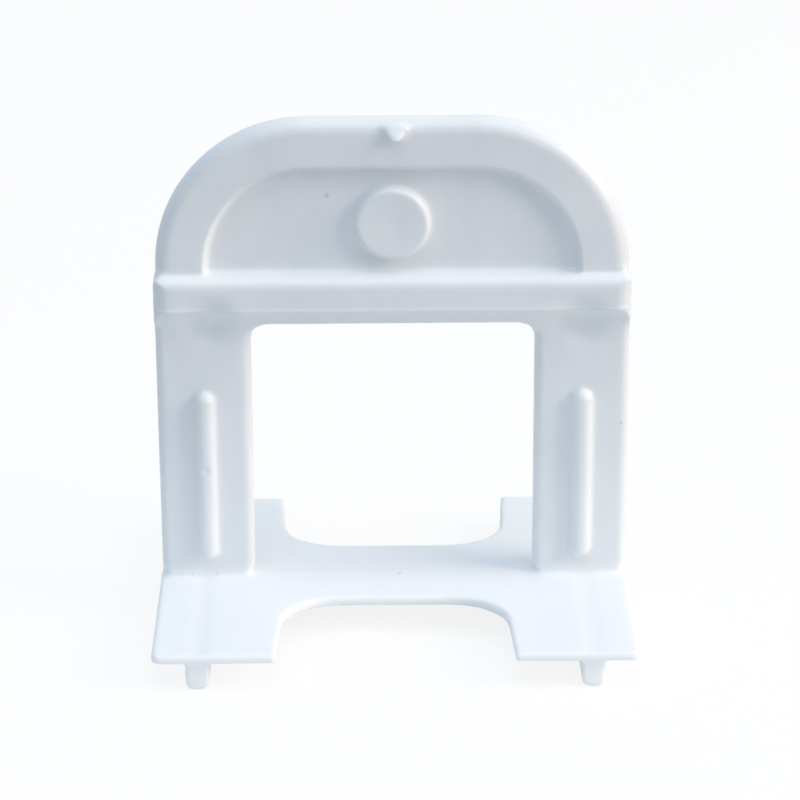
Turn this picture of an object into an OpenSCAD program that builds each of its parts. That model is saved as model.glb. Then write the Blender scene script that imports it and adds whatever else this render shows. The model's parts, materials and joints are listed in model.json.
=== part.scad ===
// Tile levelling clip, moulded in one piece.
// The base plate lies under two neighbouring tiles and the legs stand in the joint between them.
// A wedge is driven through the window, bears on the underside of the bar and levels the tiles.
// The clip stands on its skids: X runs across it, the front faces -Y, and Z = 0 is under the skids.

/* [Base plate] */
// Width of the clip across its two legs
clip_width = 32.3; // [28:0.1:38]
// How far the base plate stands out beyond each leg
base_overhang = 0.15; // [0.05:0.05:1]
// Depth of the base plate from its front edge to its back edge
base_depth = 27; // [20:0.1:36]
// Thickness of the base plate along the ridge in its middle
base_thick = 0.8; // [0.6:0.05:1.6]
// Fall of the base plate's top from the ridge to the front and back edges
base_fall = 0.15; // [0.05:0.05:0.25]
// Step down from the ridge to the back half, where the two halves of the mould met
parting_step = 0.1; // [0.05:0.05:0.15]
// Radius along the upper edges of the base plate
base_edge = 0.25; // [0.1:0.05:0.4]
// Radius of the outer corners of the base plate
foot_radius = 0.6; // [0.2:0.1:2]

/* [Notches] */
// Depth of the strip that is left between the front notch and the back notch
strip_depth = 9.1; // [6:0.1:14]
// Width of each notch at its mouth
notch_width = 16; // [11:0.1:18]
// How far each side of a notch flares from its rounded corner to its mouth
notch_flare = 0.25; // [0:0.05:1]
// Radius of the two inner corners of each notch
notch_radius = 4; // [1:0.1:5]

/* [Skids] */
// Height of the two skids under the base plate
skid_height = 2; // [1:0.1:3]
// Width of each skid
skid_width = 1.6; // [1:0.1:2.4]
// Width of the flat that each skid rests on
skid_flat = 0.5; // [0.2:0.05:0.8]
// How far each skid lies outside the middle of the leg over it
skid_offset = 0.3; // [0:0.1:1]
// Setback of the skids' ends from the front and back edges
skid_setback = 0.3; // [0.1:0.1:2]

/* [Legs and window] */
// Width of the window that the wedge goes through
window_width = 19.4; // [16:0.1:22]
// Height of the window from the ridge of the base plate to the bearing face
window_height = 18.8; // [17:0.1:26]
// Radius of the window's two upper corners
window_radius = 1.6; // [0.8:0.1:3]
// Thickness of the legs
leg_thick = 2; // [1.6:0.1:2.6]
// Radius along the upright edges of the legs
leg_edge = 0.6; // [0.2:0.05:0.75]
// Width taken off each side of a leg where it breaks away from the base plate
neck_inset = 0.5; // [0.2:0.05:1]
// Height over which a leg narrows to that neck
neck_height = 0.7; // [0.3:0.05:1.5]

/* [Leg ribs] */
// Width of the rib on each face of a leg
rib_width = 1.35; // [1:0.05:2]
// How far a rib stands out from the leg
rib_proud = 0.75; // [0.2:0.05:1]
// Radius along the front edges of a rib
rib_edge = 0.3; // [0.1:0.05:0.5]
// Height of a rib's lower end above the ridge of the base plate
rib_start = 1.4; // [1:0.1:3]
// Length of a rib
rib_length = 12.4; // [6:0.1:13]

/* [Bar] */
// Thickness of the bar over the window
bar_thick = 4.2; // [3.4:0.1:6]
// Height of the bar's undercut, from the bearing face to the foot of its front face
bar_lip = 1.1; // [0.5:0.05:2]
// Height of the bar's front face, with its rounded upper edge
bar_face = 2.3; // [2:0.1:5]
// Radius along the bar's upper front and back edges
bar_edge = 0.7; // [0.3:0.05:0.9]
// Radius of the corners at the two ends of the bar
bar_corner = 0.6; // [0.3:0.1:1.5]
// How far each end of the bar stands out beyond the leg under it
bar_overhang = 0; // [0:0.05:0.6]
// Height under the bearing face at which the cove below the bar runs out on the leg
cove_drop = 1.5; // [0.8:0.1:3]

/* [Head] */
// Height of the head above the bar's shoulder
head_height = 10.8; // [9:0.1:18]
// How far each side of the head is set in from the leg under it
head_inset = 0.15; // [0.05:0.05:1]
// Outer radius of the head's two upper corners
head_radius = 10.3; // [7:0.1:12]
// Width of the rim round the head
rim_width = 3.25; // [2.5:0.05:4.5]
// Thickness of the rim
rim_thick = 2.2; // [1.8:0.1:3]
// Radius along the outer edges of the rim
rim_edge = 0.55; // [0.3:0.05:0.85]
// Depth of the recess inside the rim
recess_depth = 0.8; // [0.4:0.05:1.2]
// Slope of the recess wall, as its width seen from the front
recess_slope = 0.3; // [0.1:0.05:0.6]

/* [Boss and gate] */
// Diameter of the round boss in the recess
boss_width = 5; // [3:0.1:5.5]
// Height of the boss above the floor of the recess
boss_height = 0.75; // [0.4:0.05:1.5]
// Height of the boss's centre above the bar's shoulder
boss_rise = 3.5; // [3:0.1:4]
// Width of the torn-off gate at the top of the rim
gate_width = 2.3; // [1:0.1:3]
// Length of the torn-off gate down the rim
gate_length = 1.3; // [0.8:0.1:2.4]
// How far the torn-off gate stands out from the rim
gate_proud = 0.9; // [0.3:0.05:1]
// How far the torn-off gate lies to the right of the middle
gate_offset = 0.25; // [0:0.05:0.5]

/* [Hidden] */

// Steps in a small edge radius and in a large corner, and facets of a full turn
edge_steps = 6;
corner_steps = 12;
$fn = 96;
// Depth to which one form is sunk into the next, so that they fuse
sink = 0.5;
// A hair's breadth that keeps two blending surfaces from meeting dead flush
hair = 0.02;

// Levels, from the bottom up
base_z = skid_height;
ridge_z = base_z + base_thick;
window_z = ridge_z + window_height;
lip_z = window_z + bar_lip;
shoulder_z = lip_z + bar_face;
head_z = shoulder_z + head_height;

// Half widths and half thicknesses
base_half = clip_width / 2 + base_overhang;
bar_half = clip_width / 2 + max(bar_overhang, hair);
head_half = clip_width / 2 - head_inset;
window_half = window_width / 2;
leg_half = leg_thick / 2;
bar_deep = bar_thick / 2;
rim_half = rim_thick / 2;

// Thickness of the base plate at its back edge, and the edge radius that fits it
edge_thick = base_thick - base_fall - parting_step;
base_round = min(base_edge, edge_thick / 2);

// Each leg is centred between the window and the clip's side, and its edges fit its thickness
leg_width = (clip_width - window_width) / 2;
leg_x = (clip_width + window_width) / 4;
leg_round = min(leg_edge, leg_half - hair);

// Edges of a leg's ribs, which fit their width and height
rib_half = rib_width / 2;
rib_round = min(rib_edge, rib_half - hair, rib_proud - hair);

// Cove under the bar: an arc that leaves the leg's face upright and ends at the bar's front face
cove_z = window_z - cove_drop;
cove_run = bar_deep - leg_half;
cove_rise = lip_z - cove_z;
cove_radius = (cove_run * cove_run + cove_rise * cove_rise) / (2 * cove_run);
cove_end = asin(cove_rise / cove_radius);
cove_at_window = asin(cove_drop / cove_radius);

// Rounded corners of the head, no larger than the head itself, and the floor of the recess
head_round = min(head_radius, head_height);
corner_x = head_half - head_round;
corner_z = head_z - head_round;
floor_y = rim_half - recess_depth;

// Points along an arc, from one angle to another
function arc(cx, cy, r, from, to, steps = edge_steps) =
    [for (i = [0 : steps]) let (a = from + (to - from) * i / steps) [cx + r * cos(a), cy + r * sin(a)]];

// Points of a rectangle about the origin with rounded corners
function rounded(w, h, r) = concat(
    arc(w / 2 - r, h / 2 - r, r, 0, 90),
    arc(r - w / 2, h / 2 - r, r, 90, 180),
    arc(r - w / 2, r - h / 2, r, 180, 270),
    arc(w / 2 - r, r - h / 2, r, 270, 360));

// Points along the cove: distance out from the leg's face, then height
function cove(from, to) =
    [for (i = [0 : edge_steps]) let (a = from + (to - from) * i / edge_steps)
        [cove_radius * (1 - cos(a)), cove_z + cove_radius * sin(a)]];

// Points moved sideways
function shifted(points, dx) = [for (p = points) [p[0] + dx, p[1]]];

// One side of an outline and its mirror image, as one closed outline
function both_sides(points) =
    concat(points, [for (i = [len(points) - 1 : -1 : 0]) [-points[i][0], points[i][1]]]);

// A section drawn in Y and Z, drawn out along X
module along_x(length) {
    rotate([90, 0, 90]) linear_extrude(length, center = true) children();
}

// An outline drawn in X and Z, drawn out along Y
module along_y(length) {
    rotate([90, 0, 0]) linear_extrude(length, center = true) children();
}

// The same form on the left and on the right
module left_and_right() {
    children();
    mirror([1, 0, 0]) children();
}

// The same form on the front and on the back
module front_and_back() {
    children();
    mirror([0, 1, 0]) children();
}

// Outline of the base plate: an H with rounded, slightly flared notches
module base_outline() {
    notch_depth = (base_depth - strip_depth) / 2;
    notch_half = notch_width / 2;
    floor_half = notch_half - notch_flare;
    difference() {
        polygon(rounded(2 * (base_half + hair), base_depth + 2 * hair, foot_radius));
        front_and_back()
            translate([0, strip_depth / 2])
                polygon(both_sides(concat(
                    arc(floor_half - notch_radius, notch_radius, notch_radius, -90, 0, corner_steps),
                    [[notch_half, notch_depth], [notch_half, 2 * notch_depth]])));
    }
}

// Front half of the base plate: it falls from the ridge to its front edge and has rounded upper edges
module half_plate(top_z, overlap) {
    edge_y = base_round - base_depth / 2;
    edge_z = top_z - base_fall - base_round + hair;
    intersection() {
        translate([0, 0, top_z])
            rotate([atan(2 * base_fall / base_depth), 0, 0])
                along_y(2 * base_depth)
                    polygon(both_sides(concat(
                        [[base_half, -2 * base_thick]],
                        arc(base_half - base_round, -base_round, base_round, 0, 90))));
        along_x(4 * base_half)
            polygon(concat(
                [[-base_depth / 2, base_z]],
                arc(edge_y, edge_z, base_round, 180, 90),
                [[overlap, 2 * ridge_z], [overlap, base_z]]));
        linear_extrude(2 * ridge_z) base_outline();
    }
}

// Base plate: the back half lies a little lower and runs in under the front half
module base_plate() {
    half_plate(ridge_z, 0);
    mirror([0, 1, 0]) half_plate(ridge_z - parting_step, sink);
}

// Skid under one side of the base plate, rounded down to a narrow flat
module skid() {
    round_off = (skid_width - skid_flat) / 2;
    top_z = base_z + edge_thick / 2;
    translate([leg_x + skid_offset, 0, 0])
        along_y(base_depth - 2 * skid_setback)
            polygon(both_sides(concat(
                arc(skid_flat / 2, round_off, round_off, -90, 0),
                [[skid_width / 2, top_z]])));
}

// Leg with rounded upright edges, narrowed at its foot where it breaks away
module leg() {
    foot_z = ridge_z - base_thick / 2;
    neck_half = leg_width / 2 - neck_inset;
    flared_half = neck_half + 2 * neck_inset;
    translate([leg_x, 0, 0])
        intersection() {
            translate([0, 0, foot_z])
                linear_extrude(lip_z - foot_z)
                    polygon(rounded(leg_width, leg_thick, leg_round));
            along_y(2 * leg_thick)
                polygon(both_sides([
                    [neck_half, 0],
                    [neck_half, ridge_z],
                    [flared_half, ridge_z + 2 * neck_height],
                    [flared_half, head_z]]));
        }
}

// Rib with rounded ends and edges on the front face of a leg
module leg_rib() {
    run = rib_length - rib_width;
    root = -leg_half / 2;
    section = concat(
        [[rib_half, root]],
        arc(rib_half - rib_round, rib_proud - rib_round, rib_round, 0, 90));
    translate([leg_x, -leg_half, ridge_z + rib_start + rib_length / 2])
        rotate([90, 0, 0]) {
            along_y(run) polygon(both_sides(section));
            front_and_back()
                translate([0, run / 2, 0])
                    rotate_extrude(angle = 180)
                        polygon(concat([[0, root]], section, [[0, rib_proud]]));
        }
}

// Cove that leads a leg out to the bar, carried round the leg's edges and trimmed at its sides
module leg_cove() {
    curve = cove(0, cove_at_window);
    top = [curve[edge_steps][0], window_z + bar_lip / 2];
    profile = concat([for (i = [1 : edge_steps]) curve[i]], [top]);
    edge_x = leg_width / 2 - leg_round;
    edge_y = leg_half - leg_round;
    translate([leg_x, 0, 0])
        intersection() {
            union() {
                along_x(2 * edge_x)
                    polygon(both_sides(concat([[edge_y, cove_z]], shifted(profile, leg_half))));
                left_and_right() front_and_back()
                    translate([edge_x, edge_y, 0])
                        rotate_extrude(angle = 90)
                            polygon(concat([[0, cove_z]], shifted(profile, leg_round), [[0, top[1]]]));
            }
            translate([hair / 2 - leg_width / 2, -bar_thick, 0])
                cube([leg_width - hair, 2 * bar_thick, head_z]);
        }
}

// Rounded upper corner of the window, with the leg's rounded edge carried round it
module window_corner() {
    h = leg_half - hair / 2;
    middle = window_radius + leg_round;
    outer = middle + sink;
    spare_turn = 3;
    translate([window_half - window_radius + hair, 0, window_z - window_radius + hair])
        rotate([90, 0, 0]) rotate([0, 0, -spare_turn]) rotate_extrude(angle = 90 + 2 * spare_turn)
            polygon(concat(
                arc(middle, h - leg_round, leg_round, 90, 180),
                arc(middle, leg_round - h, leg_round, 180, 270),
                [[outer, -h], [outer, h]]));
}

// Rounded corner of the bar's underside over it, which follows the cove and runs out on the leg
module lip_corner() {
    r = window_radius + leg_round;
    x = window_half - window_radius + hair;
    z = window_z - r + hair;
    top_z = window_z + bar_lip / 2;
    curve = shifted(cove(0, cove_at_window), leg_half - hair / 2);
    intersection() {
        along_y(2 * bar_thick)
            polygon(concat(arc(x, z, r, 0, 90), [[x, top_z], [x + r, top_z]]));
        along_x(4 * clip_width)
            polygon(both_sides(concat(
                [[curve[0][0], z - r]], curve, [[curve[edge_steps][0], top_z]])));
    }
}

// Bar over the window: a shouldered beam with an undercut on each side of the bearing face
module bar() {
    intersection() {
        along_x(4 * bar_half)
            polygon(both_sides(concat(
                shifted(cove(cove_at_window, cove_end), leg_half),
                arc(bar_deep - bar_edge, shoulder_z - bar_edge, bar_edge, 0, 90))));
        along_y(2 * bar_thick)
            polygon(both_sides(concat(
                [[bar_half, cove_z]],
                arc(bar_half - bar_corner, shoulder_z + hair - bar_corner, bar_corner, 0, 90))));
        linear_extrude(2 * head_z)
            polygon(rounded(2 * (bar_half + hair), 2 * (bar_deep + hair), bar_corner));
    }
}

// Section of the head's rim: radius from the corner's centre, then height in front of the mid plane
module rim_section() {
    inner = head_round - rim_width;
    deep = recess_depth + (rim_thick - recess_depth) / 4;
    foot = inner - recess_slope * deep / recess_depth;
    polygon(concat(
        arc(head_round - rim_edge, rim_half - rim_edge, rim_edge, 0, 90),
        [[inner, rim_half], [foot, rim_half - deep], [foot, -rim_half]],
        arc(head_round - rim_edge, rim_edge - rim_half, rim_edge, -90, 0)));
}

// Rim: one section swept up the sides, round both corners and across the top of the head
module rim() {
    translate([-corner_x, 0, corner_z])
        rotate([180, -90, 0]) linear_extrude(2 * corner_x) rim_section();
    left_and_right() translate([corner_x, 0, corner_z]) {
        rotate([90, 0, 0]) rotate_extrude(angle = 90) rim_section();
        rotate([180, 0, 0]) linear_extrude(corner_z - shoulder_z + sink) rim_section();
    }
}

// Web that closes the head behind the recess, reaching to the middle of the rim
module web() {
    reach = head_round - rim_width / 2;
    translate([0, (rim_half - floor_y) / 2, 0])
        along_y(rim_half + floor_y)
            polygon(both_sides(concat(
                [[corner_x + reach, shoulder_z - sink]],
                arc(corner_x, corner_z, reach, 0, 90))));
}

// Round boss in the recess, with a drafted side, a broken edge and a slightly dished face
module boss() {
    r = boss_width / 2;
    broken = boss_height / 6;
    buried = (rim_half + floor_y) / 2;
    translate([0, -floor_y, shoulder_z + boss_rise])
        rotate([90, 0, 0]) rotate_extrude()
            polygon([
                [0, -buried], [r + broken, -buried], [r, boss_height - broken],
                [r - broken, boss_height], [0, boss_height - broken]]);
}

// Torn-off gate at the top of the rim: a small thorn that stands out further towards its tip
module gate() {
    tip_half = gate_width / 7;
    root_y = rim_edge / 3 - rim_half;
    top_z = head_z - hair;
    tip_z = top_z - gate_length;
    translate([gate_offset, 0, 0])
        intersection() {
            along_y(4 * rim_thick)
                polygon(both_sides([[tip_half, tip_z - hair], [gate_width / 2, top_z + hair]]));
            along_x(2 * gate_width)
                polygon([[0, top_z], [root_y, top_z], [-rim_half - gate_proud, tip_z], [0, tip_z]]);
        }
}

// The clip in white moulded plastic
module levelling_clip() {
    color("#eef3f7") {
        base_plate();
        left_and_right() {
            skid();
            leg();
            front_and_back() leg_rib();
            leg_cove();
            window_corner();
            lip_corner();
        }
        bar();
        rim();
        web();
        boss();
        gate();
    }
}

levelling_clip();
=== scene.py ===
import json
import math

import bmesh
import bpy
from bpy.props import FloatProperty, FloatVectorProperty, IntProperty, PointerProperty
from bpy.types import NodeSocket, Operator, Panel, PropertyGroup
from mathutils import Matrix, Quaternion, Vector


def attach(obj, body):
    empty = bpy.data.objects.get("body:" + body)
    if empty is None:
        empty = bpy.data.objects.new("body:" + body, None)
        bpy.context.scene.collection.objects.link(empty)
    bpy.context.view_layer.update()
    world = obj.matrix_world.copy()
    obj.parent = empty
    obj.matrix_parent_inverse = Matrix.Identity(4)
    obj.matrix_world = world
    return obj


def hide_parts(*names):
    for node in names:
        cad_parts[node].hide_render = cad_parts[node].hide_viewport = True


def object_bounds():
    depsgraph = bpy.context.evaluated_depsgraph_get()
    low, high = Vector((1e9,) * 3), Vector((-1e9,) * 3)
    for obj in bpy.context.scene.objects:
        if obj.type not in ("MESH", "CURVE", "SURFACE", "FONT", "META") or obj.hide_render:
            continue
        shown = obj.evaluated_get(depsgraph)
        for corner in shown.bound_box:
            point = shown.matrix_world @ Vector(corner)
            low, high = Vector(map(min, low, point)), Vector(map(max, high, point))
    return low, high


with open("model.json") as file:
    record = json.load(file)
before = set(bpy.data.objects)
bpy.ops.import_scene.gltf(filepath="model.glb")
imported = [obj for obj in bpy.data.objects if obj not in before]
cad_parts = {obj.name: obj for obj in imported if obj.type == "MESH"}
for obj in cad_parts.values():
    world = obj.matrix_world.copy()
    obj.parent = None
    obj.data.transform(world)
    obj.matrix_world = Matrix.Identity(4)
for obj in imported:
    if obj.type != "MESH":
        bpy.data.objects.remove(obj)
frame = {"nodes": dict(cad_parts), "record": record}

bl_info = {
    "name": "Tile levelling clip",
    "version": (1, 0, 0),
    "blender": (4, 5, 0),
    "location": "3D View > Sidebar > Levelling clip",
    "description": "Gives a moulded tile levelling clip its skin and sets it in a small white studio",
    "category": "Object",
}

# A millimetre in the scene's metres
MM = 0.001

# The solid under the skin, with its body and its box
NODE = "levelling_clip"
BODY = "root"
CAD_LOW, CAD_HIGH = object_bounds()

# Levels and lines on the clip, taken from its mounts
MOUNTS = {mount["name"]: Vector(mount["pos_m"]) for mount in frame["record"]["mounts"]}
BEARING_Z = MOUNTS["wedge_bearing"].z
SEAT_Z = MOUNTS["tile_seat_front"].z
SKID_X = MOUNTS["skid_rest"].x

# The bar over the window, in the right back quarter, which the other quarters mirror: its end, its face,
# the fine line along the foot of the face, its top
BAR_END_X = 16.17 * MM
BAR_FACE_Y = 2.1 * MM
WITNESS_Z = BEARING_Z + 1.17 * MM
SHOULDER_Z = BEARING_Z + 3.4 * MM

# A leg in the same quarter: its face, its rib's face, the middle and half the length of the rib's axis,
# half the rib's width, and the middle of the sink mark where the rib runs up into the bar
LEG_FACE_Y = 1.0 * MM
RIB_FACE_Y = 1.75 * MM
RIB_MIDDLE = Vector((12.925, 0.0, 10.4)) * MM
RIB_RUN = Vector((0.0, 0.0, 5.525)) * MM
RIB_HALF = 0.675 * MM
SINK_MARK = Vector((12.6 * MM, 1.7 * MM, BEARING_Z + 0.2 * MM))

# The head in the same quarter: radius and centre of its corner in the front view, half its rim's thickness
HEAD_ROUND = 10.3 * MM
HEAD_CORNER = Vector((5.7 * MM, 0.0, CAD_HIGH.z - HEAD_ROUND))
RIM_HALF = 1.1 * MM

# What isn't mirrored: the torn-off gate's tip, how far the gate reaches from it, a nick in the left rib
GATE_TIP = Vector((0.25 * MM, -2.0 * MM, CAD_HIGH.z - 1.3 * MM))
GATE_REACH = 1.6 * MM
NICK = Vector((-12.9, -1.8, 11.0)) * MM

# How far each mark of the mould reaches from its line or point before it has faded to nothing
SINK_REACH = 2.8 * MM
GROOVE_REACH = 1.1 * MM
WITNESS_REACH = 0.18 * MM
PARTING_REACH = 0.14 * MM
NICK_REACH = 0.5 * MM
TEAR_REACH = 1.0 * MM

# Widths of the slow waves in the faces, of the crumbs in the torn gate, and of the clouds in the plastic
WAVE_WIDTH = 5.0 * MM
CRUMB_WIDTH = 0.5 * MM
CLOUD_WIDTH = 4.0 * MM

# Spark-eroded steel leaves a fine grain, drawn coarser than it is so that it shows at all
GRAIN_WIDTH = 0.2 * MM
GRAIN_DEPTH = 0.01 * MM

# Dark specks that were moulded in: place and radius in millimetres, and how dark their middles are
SPECKS = (
    ((-4.35, -0.3, 30.4), 0.22),
    ((0.4, -0.75, 2.79), 0.22),
    ((15.65, -1.0, 14.1), 0.18),
    ((-14.8, -1.0, 2.95), 0.15),
    ((-14.05, -1.0, 2.9), 0.18),
    ((-12.35, -1.0, 2.95), 0.15),
    ((-6.55, -0.35, 25.0), 0.15),
)
SPECK_SHARE = 0.35

# Directions that a vector is cut down to: what shows in the front view, and the depth behind it
FRONT_VIEW = (1.0, 0.0, 1.0)
DEPTH = (0.0, 1.0, 0.0)

# White of the floor and of the background
WHITE = (1.0, 1.0, 1.0, 1.0)


def linear(hex_colour):
    """Turns an sRGB hex colour to linear red, green and blue."""
    shares = [int(hex_colour[i:i + 2], 16) / 255 for i in (1, 3, 5)]
    return [s / 12.92 if s <= 0.04045 else ((s + 0.055) / 1.055) ** 2.4 for s in shares]


def opaque(colour):
    """Gives a linear colour the full alpha that a colour socket wants."""
    return (*colour, 1.0)


def add(tree, kind, inputs=None, **settings):
    """Adds one node to a tree, with its settings, and links or fills its inputs."""
    node = tree.nodes.new(kind)
    for name, value in settings.items():
        setattr(node, name, value)
    for key, value in (inputs or {}).items():
        if isinstance(value, NodeSocket):
            tree.links.new(value, node.inputs[key])
        else:
            node.inputs[key].default_value = value
    return node


class ClipSkin(PropertyGroup):
    """Sizes of the moulded skin."""

    grid: FloatProperty(
        name="Grid", description="Spacing of the points that the skin is drawn through",
        default=0.12 * MM, min=0.1 * MM, max=0.5 * MM, precision=5, unit="LENGTH")
    passes: IntProperty(
        name="Softening", description="Passes that soften the edges as flowing plastic does",
        default=24, min=0, max=60)
    base_softness: FloatProperty(
        name="Base softness", description="Weight of that softening on the thin base plate",
        default=0.08, min=0.0, max=1.0, subtype="FACTOR")
    leg_softness: FloatProperty(
        name="Leg softness", description="Weight of that softening on the legs and the bar",
        default=0.02, min=0.0, max=1.0, subtype="FACTOR")
    head_softness: FloatProperty(
        name="Head softness", description="Weight of that softening on the head",
        default=0.022, min=0.0, max=1.0, subtype="FACTOR")
    gate_softness: FloatProperty(
        name="Gate softness", description="Weight of that softening on the torn-off gate",
        default=0.25, min=0.0, max=1.0, subtype="FACTOR")
    rim_round: FloatProperty(
        name="Rim rounding", description="Radius to which the outer edges of the rim have flowed",
        default=1.0 * MM, min=0.6 * MM, max=1.1 * MM, precision=5, unit="LENGTH")
    bar_round: FloatProperty(
        name="Bar rounding", description="Radius to which the upright edges at the bar's ends have flowed",
        default=1.1 * MM, min=0.6 * MM, max=1.5 * MM, precision=5, unit="LENGTH")
    rib_round: FloatProperty(
        name="Rib rounding", description="Radius to which the front edges of the ribs have flowed",
        default=0.62 * MM, min=0.3 * MM, max=0.67 * MM, precision=5, unit="LENGTH")
    sink_depth: FloatProperty(
        name="Sink marks", description="Depth of the sink marks where the legs run into the bar",
        default=0.5 * MM, min=0.0, max=0.8 * MM, precision=5, unit="LENGTH")
    groove_depth: FloatProperty(
        name="Skid grooves", description="Depth of the shallow sink along the base plate over each skid",
        default=0.05 * MM, min=0.0, max=0.2 * MM, precision=5, unit="LENGTH")
    nick_depth: FloatProperty(
        name="Nick", description="Depth of the nick in the left rib",
        default=0.08 * MM, min=0.0, max=0.2 * MM, precision=5, unit="LENGTH")
    tear_height: FloatProperty(
        name="Tear", description="Height of the crumbs where the gate was torn off",
        default=0.2 * MM, min=0.0, max=0.4 * MM, precision=5, unit="LENGTH")
    witness_height: FloatProperty(
        name="Witness line", description="Height of the fine line along the foot of the bar's face",
        default=0.08 * MM, min=0.0, max=0.2 * MM, precision=5, unit="LENGTH")
    parting_height: FloatProperty(
        name="Parting line", description="Height of the fine line where the two halves of the mould met",
        default=0.03 * MM, min=0.0, max=0.2 * MM, precision=5, unit="LENGTH")
    unevenness: FloatProperty(
        name="Unevenness", description="Height of the slow waves that shrinkage leaves in the faces",
        default=0.03 * MM, min=0.0, max=0.2 * MM, precision=5, unit="LENGTH")
    triangles: IntProperty(
        name="Triangles", description="Triangles that the finished skin is thinned to",
        default=185000, min=20000, max=195000)


class ClipPlastic(PropertyGroup):
    """Colours and gloss of the white plastic."""

    colour: FloatVectorProperty(
        name="Colour", description="Colour of the plastic where it is clear of flow marks",
        default=linear("#f2f5f7"), min=0.0, max=1.0, subtype="COLOR")
    flow_colour: FloatVectorProperty(
        name="Flow marks", description="Colour of the faint clouds that the flowing plastic leaves",
        default=linear("#ebeff2"), min=0.0, max=1.0, subtype="COLOR")
    # Painted light: a paler colour painted on the base plate, standing for light that comes through it from
    # below
    painted_light_plate_colour: FloatVectorProperty(
        name="Painted light on plate", description="Colour of the thin base plate, which lets light through from below",
        default=linear("#f6f9fb"), min=0.0, max=1.0, subtype="COLOR")
    speck_colour: FloatVectorProperty(
        name="Specks", description="Colour of the dark specks moulded into the plastic",
        default=linear("#7b828c"), min=0.0, max=1.0, subtype="COLOR")
    roughness: FloatProperty(
        name="Roughness", description="Middle roughness of the satin surface",
        default=0.42, min=0.0, max=1.0, subtype="FACTOR")
    milkiness: FloatProperty(
        name="Milkiness", description="Share of the light that scatters under the surface",
        default=0.15, min=0.0, max=1.0, subtype="FACTOR")


class ClipStage(PropertyGroup):
    """Camera, light and floor of the small studio."""

    target: FloatVectorProperty(
        name="Target", description="Point on the clip's mid plane that the camera looks at",
        default=(0.487 * MM, 0.0, 15.515 * MM), precision=5, subtype="TRANSLATION")
    distance: FloatProperty(
        name="Distance", description="Distance from the camera to its target",
        default=225.98 * MM, min=50 * MM, unit="LENGTH")
    elevation: FloatProperty(
        name="Elevation", description="Angle at which the camera looks down",
        default=math.radians(21.5), unit="ROTATION")
    yaw: FloatProperty(
        name="Yaw", description="Angle of the camera to the right of the clip's front",
        default=math.radians(-0.5), unit="ROTATION")
    roll: FloatProperty(
        name="Roll", description="Turn of the picture, counter-clockwise",
        default=math.radians(0.26), unit="ROTATION")
    lens: FloatProperty(
        name="Lens", description="Focal length in millimetres on a sensor 36 mm wide",
        default=147.9, min=20.0)
    lamp_distance: FloatProperty(
        name="Lamp distance", description="Distance from the target to each lamp",
        default=0.6, min=0.1, unit="LENGTH")
    key_direction: FloatVectorProperty(
        name="Key direction", description="Where the key lamp stands, seen from the clip",
        default=(0.85, -0.24, 0.47), subtype="DIRECTION")
    key_power: FloatProperty(
        name="Key power", description="Power of the key lamp", default=2.2, min=0.0, unit="POWER")
    key_width: FloatProperty(
        name="Key width", description="Width of the key lamp", default=0.3, min=0.01, unit="LENGTH")
    key_colour: FloatVectorProperty(
        name="Key colour", description="Colour of the key lamp, a little warmer than the sky",
        default=linear("#ffecd8"), min=0.0, max=1.0, subtype="COLOR")
    top_direction: FloatVectorProperty(
        name="Top direction", description="Where the wide lamp overhead hangs, seen from the clip",
        default=(0.0, -0.2, 0.98), subtype="DIRECTION")
    top_power: FloatProperty(
        name="Top power", description="Power of the lamp overhead", default=0.95, min=0.0, unit="POWER")
    top_width: FloatProperty(
        name="Top width", description="Width of the lamp overhead", default=0.4, min=0.01, unit="LENGTH")
    sky: FloatVectorProperty(
        name="Sky", description="Colour of the lamp overhead and of the light from all round",
        default=linear("#e2f0ff"), min=0.0, max=1.0, subtype="COLOR")
    sky_strength: FloatProperty(
        name="Sky strength", description="Strength of the light from all round", default=0.6, min=0.0)
    floor_width: FloatProperty(
        name="Floor width", description="Width of the floor", default=4.0, min=0.5, unit="LENGTH")
    floor_colour: FloatVectorProperty(
        name="Floor", description="Colour of the light that the floor near the clip throws back",
        default=linear("#f8f8f8"), min=0.0, max=1.0, subtype="COLOR")
    floor_reach: FloatProperty(
        name="Floor reach", description="Distance from the clip's middle within which that light is full",
        default=30 * MM, min=0.0, unit="LENGTH")
    room_colour: FloatVectorProperty(
        name="Room", description="Colour of the light that the floor further away throws back",
        default=linear("#7c7c7c"), min=0.0, max=1.0, subtype="COLOR")
    room_reach: FloatProperty(
        name="Room reach", description="Distance from the clip's middle past which only that light is left",
        default=90 * MM, min=0.0, unit="LENGTH")
    floor_glow: FloatProperty(
        name="Floor glow", description="Share of the floor's picture that stays white in the shadow",
        default=0.84, min=0.0, max=1.0, subtype="FACTOR")


class SkinPoint:
    """Sockets that tell where a point of the skin lies and which way it faces."""

    def __init__(self, tree):
        self.place = add(tree, "GeometryNodeInputPosition").outputs[0]
        self.normal = add(tree, "GeometryNodeInputNormal").outputs[0]
        self.from_gate = add(tree, "ShaderNodeVectorMath", {
            0: self.place, 1: GATE_TIP}, operation="DISTANCE").outputs["Value"]

        # Its mirror image in the right back quarter
        self.quarter = add(tree, "ShaderNodeVectorMath", {0: self.place}, operation="ABSOLUTE").outputs[0]
        self.x, self.y, self.z = add(tree, "ShaderNodeSeparateXYZ", {0: self.quarter}).outputs


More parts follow.
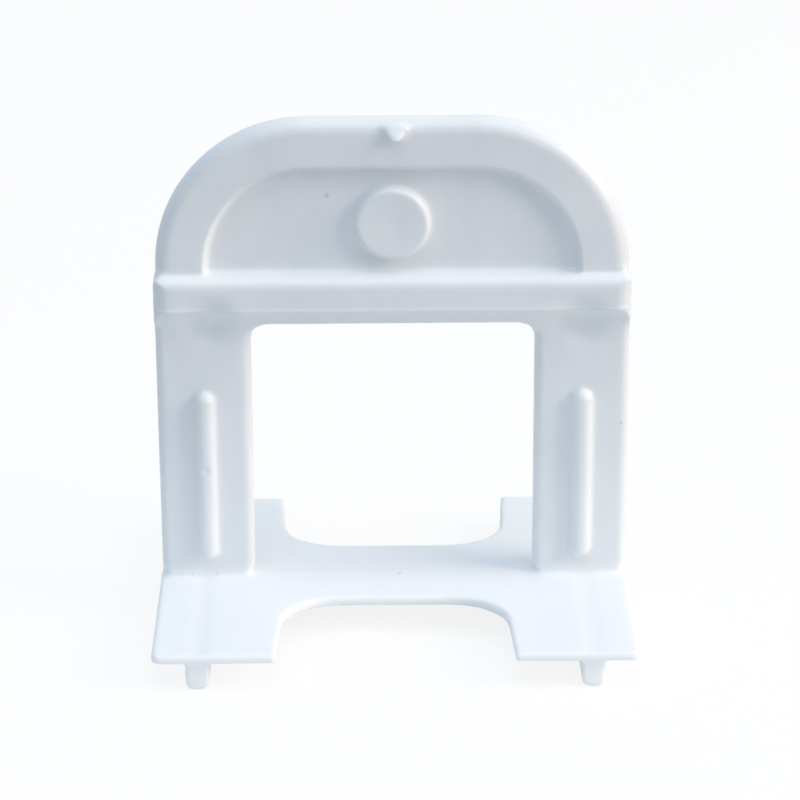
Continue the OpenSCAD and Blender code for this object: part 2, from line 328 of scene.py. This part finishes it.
def edge_softness(tree, given, point):
    """Gives the weight with which a point moves towards its neighbours."""
    # The thin base plate is soft, but not at the step along its ridge
    on_plate = add(tree, "ShaderNodeMapRange", {
        "Value": point.y, "From Min": 0.3 * MM, "From Max": 0.7 * MM,
        "To Min": given["Leg softness"], "To Max": given["Base softness"]}).outputs["Result"]
    up_to_bar = add(tree, "ShaderNodeMapRange", {
        "Value": point.z, "From Min": SEAT_Z + 0.3 * MM, "From Max": SEAT_Z + 1.0 * MM,
        "To Min": on_plate, "To Max": given["Leg softness"]}).outputs["Result"]
    up_to_top = add(tree, "ShaderNodeMapRange", {
        "Value": point.z, "From Min": SHOULDER_Z + 0.3 * MM, "From Max": SHOULDER_Z + 0.8 * MM,
        "To Min": up_to_bar, "To Max": given["Head softness"]}).outputs["Result"]

    # The torn-off gate is the softest
    return add(tree, "ShaderNodeMapRange", {
        "Value": point.from_gate, "From Min": GATE_REACH - 0.4 * MM, "From Max": GATE_REACH + 0.4 * MM,
        "To Min": given["Gate softness"], "To Max": up_to_top}).outputs["Result"]


def head_section(tree, point):
    """Gives how far out a point of the head lies in the front view, and its share in the rim's round."""
    out = add(tree, "ShaderNodeVectorMath", {
        0: point.quarter, 1: HEAD_CORNER}, operation="SUBTRACT").outputs[0]
    out = add(tree, "ShaderNodeVectorMath", {0: out}, operation="MAXIMUM").outputs[0]
    out = add(tree, "ShaderNodeVectorMath", {0: out, 1: FRONT_VIEW}, operation="MULTIPLY").outputs[0]
    out = add(tree, "ShaderNodeVectorMath", {0: out}, operation="LENGTH").outputs["Value"]

    # The round leaves the gate as it is
    on_head = add(tree, "ShaderNodeMapRange", {
        "Value": point.z, "From Min": SHOULDER_Z + 0.1 * MM, "From Max": SHOULDER_Z + 0.6 * MM,
    }).outputs["Result"]
    off_gate = add(tree, "ShaderNodeMapRange", {
        "Value": point.from_gate, "From Min": GATE_REACH - 0.3 * MM, "From Max": GATE_REACH + 0.3 * MM,
    }).outputs["Result"]
    share = add(tree, "ShaderNodeMath", {0: on_head, 1: off_gate}, operation="MULTIPLY").outputs[0]
    return out, share


def bar_section(tree, point):
    """Gives how far out a point of the bar lies, and its share in the round of the bar's ends."""
    share = add(tree, "ShaderNodeMapRange", {
        "Value": point.z, "From Min": BEARING_Z - 0.4 * MM, "From Max": BEARING_Z + 0.1 * MM,
    }).outputs["Result"]
    return point.x, share


def rib_section(tree, point):
    """Gives how far a point lies from a rib's axis in the front view, and its share in the rib's round."""
    out = add(tree, "ShaderNodeVectorMath", {
        0: point.quarter, 1: RIB_MIDDLE}, operation="SUBTRACT").outputs[0]
    out = add(tree, "ShaderNodeVectorMath", {0: out}, operation="ABSOLUTE").outputs[0]
    out = add(tree, "ShaderNodeVectorMath", {0: out, 1: RIB_RUN}, operation="SUBTRACT").outputs[0]
    out = add(tree, "ShaderNodeVectorMath", {0: out}, operation="MAXIMUM").outputs[0]
    out = add(tree, "ShaderNodeVectorMath", {0: out, 1: FRONT_VIEW}, operation="MULTIPLY").outputs[0]
    out = add(tree, "ShaderNodeVectorMath", {0: out}, operation="LENGTH").outputs["Value"]

    # The round takes in only what stands out from the leg
    near = add(tree, "ShaderNodeMapRange", {
        "Value": out, "From Min": RIB_HALF + 0.3 * MM, "From Max": RIB_HALF + 0.1 * MM,
    }).outputs["Result"]
    proud = add(tree, "ShaderNodeMapRange", {
        "Value": point.y, "From Min": LEG_FACE_Y + 0.1 * MM, "From Max": LEG_FACE_Y + 0.3 * MM,
    }).outputs["Result"]
    share = add(tree, "ShaderNodeMath", {0: near, 1: proud}, operation="MULTIPLY").outputs[0]
    return out, share


def rounder_edges(tree, given, point, height):
    """Takes away what stands outside the larger rounds of the rim, the bar's ends and the ribs."""
    for (out, share), limits, radius in (
            (head_section(tree, point), (HEAD_ROUND, RIM_HALF, 0.0), given["Rim rounding"]),
            (bar_section(tree, point), (BAR_END_X, BAR_FACE_Y, 0.0), given["Bar rounding"]),
            (rib_section(tree, point), (RIB_HALF, RIB_FACE_Y, 0.0), given["Rib rounding"])):
        # Centre of the round in a section through the edge, and how far beyond it the point lies
        centre = add(tree, "ShaderNodeCombineXYZ", {"X": radius, "Y": radius}).outputs[0]
        centre = add(tree, "ShaderNodeVectorMath", {0: limits, 1: centre}, operation="SUBTRACT").outputs[0]
        beyond = add(tree, "ShaderNodeCombineXYZ", {"X": out, "Y": point.y}).outputs[0]
        beyond = add(tree, "ShaderNodeVectorMath", {0: beyond, 1: centre}, operation="SUBTRACT").outputs[0]
        beyond = add(tree, "ShaderNodeVectorMath", {0: beyond}, operation="MAXIMUM").outputs[0]
        beyond = add(tree, "ShaderNodeVectorMath", {0: beyond}, operation="LENGTH").outputs["Value"]
        excess = add(tree, "ShaderNodeMath", {0: radius, 1: beyond}, operation="SUBTRACT").outputs[0]
        excess = add(tree, "ShaderNodeMath", {0: excess, 1: 0.0}, operation="MINIMUM").outputs[0]
        height = add(tree, "ShaderNodeMath", {
            0: excess, 1: share, 2: height}, operation="MULTIPLY_ADD").outputs[0]
    return height


def fine_marks(tree, given, point, height):
    """Adds the grooves over the skids, the fine lines, the nick and the tear."""
    # Distances from the lines over the skids, the mould's mid plane, the witness line and the nick
    lines = Vector((SKID_X, 0.0, WITNESS_Z))
    apart = add(tree, "ShaderNodeVectorMath", {0: point.quarter, 1: lines}, operation="SUBTRACT").outputs[0]
    apart = add(tree, "ShaderNodeVectorMath", {0: apart}, operation="ABSOLUTE").outputs[0]
    from_skid, from_middle, from_witness = add(tree, "ShaderNodeSeparateXYZ", {0: apart}).outputs
    from_nick = add(tree, "ShaderNodeVectorMath", {
        0: point.place, 1: NICK}, operation="DISTANCE").outputs["Value"]

    # Shares that keep a mark to the top of the base plate or to the bar's face
    low = add(tree, "ShaderNodeMapRange", {
        "Value": point.z, "From Min": SEAT_Z + 0.6 * MM, "From Max": SEAT_Z + 0.4 * MM}).outputs["Result"]
    upward = add(tree, "ShaderNodeSeparateXYZ", {0: point.normal}).outputs["Z"]
    upward = add(tree, "ShaderNodeMapRange", {
        "Value": upward, "From Min": 0.6, "From Max": 0.9}).outputs["Result"]
    on_base = add(tree, "ShaderNodeMath", {0: upward, 1: low}, operation="MULTIPLY").outputs[0]
    on_face = add(tree, "ShaderNodeMapRange", {
        "Value": point.y, "From Min": BAR_FACE_Y - 0.3 * MM, "From Max": BAR_FACE_Y - 0.15 * MM,
    }).outputs["Result"]

    # Crumbs of the torn gate, to both sides of its skin
    torn = add(tree, "ShaderNodeTexNoise", {
        "Vector": point.place, "Scale": 1 / CRUMB_WIDTH, "Detail": 3.0}).outputs[0]
    torn = add(tree, "ShaderNodeMath", {0: torn, 1: 0.5}, operation="SUBTRACT").outputs[0]

    # Each mark is at its full height on its line or point and fades to nothing at its reach
    for distance, reach, tallest, share in (
            (from_skid, GROOVE_REACH, given["Groove depth"], on_base),
            (from_witness, WITNESS_REACH, given["Witness height"], on_face),
            (from_middle, PARTING_REACH, given["Parting height"], 1.0),
            (from_nick, NICK_REACH, given["Nick depth"], 1.0),
            (point.from_gate, TEAR_REACH, given["Tear height"], torn)):
        mark = add(tree, "ShaderNodeMapRange", {
            "Value": distance, "From Max": reach, "To Min": tallest, "To Max": 0.0,
        }, interpolation_type="SMOOTHERSTEP").outputs["Result"]
        height = add(tree, "ShaderNodeMath", {
            0: mark, 1: share, 2: height}, operation="MULTIPLY_ADD").outputs[0]
    return height


def sink_marks(tree, given, point):
    """Gives the shift of the sink marks, straight in from the front or back, so that lines stay level."""
    from_sink = add(tree, "ShaderNodeVectorMath", {
        0: point.quarter, 1: SINK_MARK}, operation="DISTANCE").outputs["Value"]
    sunk = add(tree, "ShaderNodeMapRange", {
        "Value": from_sink, "From Max": SINK_REACH, "To Min": given["Sink depth"], "To Max": 0.0,
    }, interpolation_type="SMOOTHERSTEP").outputs["Result"]
    inward = add(tree, "ShaderNodeVectorMath", {0: point.normal, 1: DEPTH}, operation="MULTIPLY").outputs[0]
    return add(tree, "ShaderNodeVectorMath", {0: inward, "Scale": sunk}, operation="SCALE").outputs[0]


def moulded_skin_tree(skin, material):
    """Builds the tree that softens a sharp skin and gives it the marks of its mould."""
    tree = bpy.data.node_groups.new("Moulded skin", "GeometryNodeTree")
    sockets = tree.interface
    sockets.new_socket("Geometry", in_out="OUTPUT", socket_type="NodeSocketGeometry")
    sockets.new_socket("Geometry", in_out="INPUT", socket_type="NodeSocketGeometry")
    values = {}
    for name, kind, value in (
            ("Softening", "NodeSocketInt", skin.passes),
            ("Base softness", "NodeSocketFloat", skin.base_softness),
            ("Leg softness", "NodeSocketFloat", skin.leg_softness),
            ("Head softness", "NodeSocketFloat", skin.head_softness),
            ("Gate softness", "NodeSocketFloat", skin.gate_softness),
            ("Rim rounding", "NodeSocketFloat", skin.rim_round),
            ("Bar rounding", "NodeSocketFloat", skin.bar_round),
            ("Rib rounding", "NodeSocketFloat", skin.rib_round),
            ("Sink depth", "NodeSocketFloat", -skin.sink_depth),
            ("Groove depth", "NodeSocketFloat", -skin.groove_depth),
            ("Nick depth", "NodeSocketFloat", -skin.nick_depth),
            ("Tear height", "NodeSocketFloat", skin.tear_height),
            ("Witness height", "NodeSocketFloat", skin.witness_height),
            ("Parting height", "NodeSocketFloat", skin.parting_height),
            ("Unevenness", "NodeSocketFloat", skin.unevenness),
            ("Material", "NodeSocketMaterial", material)):
        socket = sockets.new_socket(name, in_out="INPUT", socket_type=kind)
        values[socket.identifier] = value
    given = add(tree, "NodeGroupInput").outputs
    point = SkinPoint(tree)

    # Edges soften as the points move towards their neighbours
    blurred = add(tree, "GeometryNodeBlurAttribute", {
        "Value": point.place, "Iterations": given["Softening"],
        "Weight": edge_softness(tree, given, point)}, data_type="FLOAT_VECTOR").outputs[0]
    softened = add(tree, "GeometryNodeSetPosition", {
        "Geometry": given["Geometry"], "Position": blurred}).outputs[0]

    # Slow waves from shrinkage, the rounder edges and the fine marks follow the normal
    wave = add(tree, "ShaderNodeTexNoise", {
        "Vector": point.place, "Scale": 1 / WAVE_WIDTH, "Detail": 1.0}).outputs[0]
    wave = add(tree, "ShaderNodeMath", {0: wave, 1: 0.5}, operation="SUBTRACT").outputs[0]
    height = add(tree, "ShaderNodeMath", {0: wave, 1: given["Unevenness"]}, operation="MULTIPLY").outputs[0]
    height = rounder_edges(tree, given, point, height)
    height = fine_marks(tree, given, point, height)
    shift = add(tree, "ShaderNodeVectorMath", {
        0: point.normal, "Scale": height}, operation="SCALE").outputs[0]
    shift = add(tree, "ShaderNodeVectorMath", {
        0: shift, 1: sink_marks(tree, given, point)}, operation="ADD").outputs[0]
    marked = add(tree, "GeometryNodeSetPosition", {"Geometry": softened, "Offset": shift}).outputs[0]

    # Nothing stands outside the solid's own box
    inside = add(tree, "ShaderNodeVectorMath", {0: point.place, 1: CAD_LOW}, operation="MAXIMUM").outputs[0]
    inside = add(tree, "ShaderNodeVectorMath", {0: inside, 1: CAD_HIGH}, operation="MINIMUM").outputs[0]
    trimmed = add(tree, "GeometryNodeSetPosition", {"Geometry": marked, "Position": inside}).outputs[0]

    smooth = add(tree, "GeometryNodeSetShadeSmooth", {"Geometry": trimmed}).outputs[0]
    real = add(tree, "GeometryNodeRealizeInstances", {"Geometry": smooth}).outputs[0]
    dressed = add(tree, "GeometryNodeSetMaterial", {"Geometry": real, "Material": given["Material"]})
    add(tree, "NodeGroupOutput", {"Geometry": dressed.outputs[0]})
    return tree, values


def white_polypropylene(plastic):
    """Makes injection-moulded white polypropylene."""
    # Milky and satin: soft edges from light under the skin, faint clouds of flow, a few dark specks
    material = bpy.data.materials.new("white_polypropylene_moulded")
    material.use_nodes = True
    tree = material.node_tree
    tree.nodes.clear()
    place = add(tree, "ShaderNodeTexCoord").outputs["Object"]

    # Clouds drawn out a little along the legs as the plastic flowed
    flow = add(tree, "ShaderNodeMapping", {"Vector": place, "Scale": (1.0, 1.0, 0.6)}).outputs[0]
    cloud = add(tree, "ShaderNodeTexNoise", {
        "Vector": flow, "Scale": 1 / CLOUD_WIDTH, "Detail": 4.0, "Roughness": 0.55}).outputs[0]
    cloud = add(tree, "ShaderNodeMapRange", {
        "Value": cloud, "From Min": 0.3, "From Max": 0.7}).outputs["Result"]
    colour = add(tree, "ShaderNodeMix", {
        "Factor": cloud, "A": opaque(plastic.colour), "B": opaque(plastic.flow_colour),
    }, data_type="RGBA").outputs["Result"]

    # Painted light: the base plate is painted paler, standing for light that comes through the thin plate
    # from below
    height = add(tree, "ShaderNodeSeparateXYZ", {0: place}).outputs["Z"]
    thin = add(tree, "ShaderNodeMapRange", {
        "Value": height, "From Min": SEAT_Z + 0.1 * MM, "From Max": SEAT_Z + 1.0 * MM,
        "To Min": 1.0, "To Max": 0.0}).outputs["Result"]
    colour = add(tree, "ShaderNodeMix", {
        "Factor": thin, "A": colour, "B": opaque(plastic.painted_light_plate_colour),
    }, data_type="RGBA").outputs["Result"]

    # Each speck is a small ball in space, so that it shows only where the skin passes through it
    for centre, radius in SPECKS:
        gap = add(tree, "ShaderNodeVectorMath", {
            0: place, 1: Vector(centre) * MM}, operation="DISTANCE").outputs["Value"]
        share = add(tree, "ShaderNodeMapRange", {
            "Value": gap, "From Max": radius * MM, "To Min": SPECK_SHARE, "To Max": 0.0}).outputs["Result"]
        colour = add(tree, "ShaderNodeMix", {
            "Factor": share, "A": colour, "B": opaque(plastic.speck_colour),
        }, data_type="RGBA").outputs["Result"]

    # The mould's grain breaks up the gloss, and the clouds are a little more matt
    grain = add(tree, "ShaderNodeTexNoise", {
        "Vector": place, "Scale": 1 / GRAIN_WIDTH, "Detail": 2.0}).outputs[0]
    bump = add(tree, "ShaderNodeBump", {
        "Height": grain, "Strength": 0.25, "Distance": GRAIN_DEPTH}).outputs[0]
    gloss = add(tree, "ShaderNodeMapRange", {
        "Value": cloud, "To Min": plastic.roughness - 0.05, "To Max": plastic.roughness + 0.05,
    }).outputs["Result"]

    # Light wanders about half a millimetre under the skin, the blue a little further than the red
    shader = add(tree, "ShaderNodeBsdfPrincipled", {
        "Base Color": colour, "Roughness": gloss, "Normal": bump, "IOR": 1.49,
        "Subsurface Weight": plastic.milkiness, "Subsurface Scale": 0.5 * MM,
        "Subsurface Radius": (0.9, 0.95, 1.0)})
    add(tree, "ShaderNodeOutputMaterial", {"Surface": shader.outputs[0]})
    return material


def plain_mesh(piece):
    """Turns an object and its modifiers into a plain mesh."""
    graph = bpy.context.evaluated_depsgraph_get()
    return bpy.data.meshes.new_from_object(piece.evaluated_get(graph), depsgraph=graph)


def linked(name, data):
    """Makes an object and links it to the scene."""
    piece = bpy.data.objects.new(name, data)
    bpy.context.scene.collection.objects.link(piece)
    return piece


def merged_copy(node):
    """Copies a node's loose triangles and merges them into one closed mesh."""
    mesh = node.data.copy()
    shape = bmesh.new()
    shape.from_mesh(mesh)
    bmesh.ops.remove_doubles(shape, verts=shape.verts, dist=0.001 * MM)
    shape.to_mesh(mesh)
    shape.free()
    return linked("clip_blank", mesh)


class CLIP_OT_mould(Operator):
    """Draw the clip's moulded skin over its solid"""

    bl_idname = "clip.mould"
    bl_label = "Mould the clip"

    def execute(self, context):
        skin = context.scene.clip_skin
        tree, values = moulded_skin_tree(skin, white_polypropylene(context.scene.clip_plastic))
        blank = merged_copy(frame["nodes"][NODE])
        grid = blank.modifiers.new("Grid", "REMESH")
        grid.mode = "VOXEL"
        grid.voxel_size = skin.grid
        marks = blank.modifiers.new("Moulded skin", "NODES")
        marks.node_group = tree
        for identifier, value in values.items():
            marks[identifier] = value
        clip = linked("moulded_clip", plain_mesh(blank))
        bpy.data.objects.remove(blank)

        # Thinning leaves long triangles on the flats and small ones on the edges
        clip.data.calc_loop_triangles()
        thin = clip.modifiers.new("Thinning", "DECIMATE")
        thin.ratio = min(1.0, skin.triangles / len(clip.data.loop_triangles))
        thinned = plain_mesh(clip)
        clip.modifiers.clear()
        clip.data = thinned
        clip.data.name = clip.name
        if not len(clip.data.polygons):
            raise RuntimeError("the moulded skin came out empty")
        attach(clip, BODY)
        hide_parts(NODE)
        return {"FINISHED"}


def seen_rays(tree):
    """Gives a share that is 1 for rays that make the picture, and 0 for rays that only carry light."""
    path = add(tree, "ShaderNodeLightPath").outputs
    share = path["Is Camera Ray"]
    for other in ("Is Glossy Ray", "Is Transmission Ray"):
        share = add(tree, "ShaderNodeMath", {0: share, 1: path[other]}, operation="MAXIMUM").outputs[0]
    return share


def white_world(stage):
    """Makes a cool, even sky that the camera sees as plain white."""
    world = bpy.data.worlds.new("white_sky")
    world.use_nodes = True
    tree = world.node_tree
    tree.nodes.clear()
    sky = add(tree, "ShaderNodeBackground", {
        "Color": opaque(stage.sky), "Strength": stage.sky_strength}).outputs[0]
    seen = add(tree, "ShaderNodeBackground", {"Color": WHITE}).outputs[0]
    mixed = add(tree, "ShaderNodeMixShader", {0: seen_rays(tree), 1: sky, 2: seen})
    add(tree, "ShaderNodeOutputWorld", {"Surface": mixed.outputs[0]})
    return world


def matt_white_floor(stage):
    """Makes matt white paper that stays bright in the picture and keeps a soft shadow."""
    # In the picture most of the paper glows white by itself, so the shadow on it is only faint
    material = bpy.data.materials.new("matt_white_floor")
    material.use_nodes = True
    tree = material.node_tree
    tree.nodes.clear()
    paper = add(tree, "ShaderNodeBsdfDiffuse", {"Color": WHITE}).outputs[0]
    glow = add(tree, "ShaderNodeEmission", {"Color": WHITE}).outputs[0]
    seen = add(tree, "ShaderNodeMixShader", {0: stage.floor_glow, 1: paper, 2: glow}).outputs[0]

    # The light that comes back up is strong close by and weak further off, as from a small sheet
    place = add(tree, "ShaderNodeTexCoord").outputs["Object"]
    gone = add(tree, "ShaderNodeVectorMath", {0: place}, operation="LENGTH").outputs["Value"]
    far = add(tree, "ShaderNodeMapRange", {
        "Value": gone, "From Min": stage.floor_reach, "From Max": stage.room_reach}).outputs["Result"]
    colour = add(tree, "ShaderNodeMix", {
        "Factor": far, "A": opaque(stage.floor_colour), "B": opaque(stage.room_colour),
    }, data_type="RGBA").outputs["Result"]
    bounce = add(tree, "ShaderNodeBsdfDiffuse", {"Color": colour}).outputs[0]
    mixed = add(tree, "ShaderNodeMixShader", {0: seen_rays(tree), 1: bounce, 2: seen})
    add(tree, "ShaderNodeOutputMaterial", {"Surface": mixed.outputs[0]})
    return material


class CLIP_OT_stage(Operator):
    """Lay the floor, hang the lamps and stand the camera at the viewing angle"""

    bl_idname = "clip.stage"
    bl_label = "Set the stage"

    def execute(self, context):
        scene, stage = context.scene, context.scene.clip_stage
        scene.view_settings.view_transform = "Standard"
        scene.world = white_world(stage)
        target = Vector(stage.target)

        sheet = bmesh.new()
        bmesh.ops.create_grid(sheet, x_segments=1, y_segments=1, size=stage.floor_width / 2)
        mesh = bpy.data.meshes.new("floor")
        sheet.to_mesh(mesh)
        sheet.free()
        mesh.materials.append(matt_white_floor(stage))
        linked("floor", mesh)

        for name, direction, power, width, colour in (
                ("key", stage.key_direction, stage.key_power, stage.key_width, stage.key_colour),
                ("top", stage.top_direction, stage.top_power, stage.top_width, stage.sky)):
            lamp = linked(name, bpy.data.lights.new(name, "AREA"))
            lamp.data.energy = power
            lamp.data.size = width
            lamp.data.color = colour
            towards = Vector(direction).normalized()
            lamp.location = target + towards * stage.lamp_distance
            lamp.rotation_mode = "QUATERNION"
            lamp.rotation_quaternion = towards.to_track_quat("Z", "Y")

        camera = linked("camera", bpy.data.cameras.new("camera"))
        camera.data.lens = stage.lens
        camera.data.clip_start = 10 * MM
        level = math.cos(stage.elevation)
        back = Vector((
            math.sin(stage.yaw) * level, -math.cos(stage.yaw) * level, math.sin(stage.elevation)))
        camera.location = target + back * stage.distance
        camera.rotation_mode = "QUATERNION"
        turn = Quaternion((0.0, 0.0, 1.0), -stage.roll)
        camera.rotation_quaternion = back.to_track_quat("Z", "Y") @ turn
        scene.camera = camera
        return {"FINISHED"}


class CLIP_PT_panel(Panel):
    """Lists the clip's operators and their sizes"""

    bl_idname = "CLIP_PT_panel"
    bl_label = "Levelling clip"
    bl_space_type = "VIEW_3D"
    bl_region_type = "UI"
    bl_category = "Levelling clip"

    def draw(self, context):
        for operator, groups in (
                (CLIP_OT_mould, ("clip_skin", "clip_plastic")), (CLIP_OT_stage, ("clip_stage",))):
            column = self.layout.column()
            column.operator(operator.bl_idname)
            for group in groups:
                settings = getattr(context.scene, group)
                for name in settings.__annotations__:
                    column.prop(settings, name)


CLASSES = (ClipSkin, ClipPlastic, ClipStage, CLIP_OT_mould, CLIP_OT_stage, CLIP_PT_panel)
SETTINGS = {"clip_skin": ClipSkin, "clip_plastic": ClipPlastic, "clip_stage": ClipStage}


def register():
    for kind in CLASSES:
        bpy.utils.register_class(kind)
    for name, kind in SETTINGS.items():
        setattr(bpy.types.Scene, name, PointerProperty(type=kind))


def unregister():
    for name in SETTINGS:
        delattr(bpy.types.Scene, name)
    for kind in reversed(CLASSES):
        bpy.utils.unregister_class(kind)


def main():
    register()
    bpy.ops.clip.stage()
    bpy.ops.clip.mould()


if __name__ == "__main__":
    main()
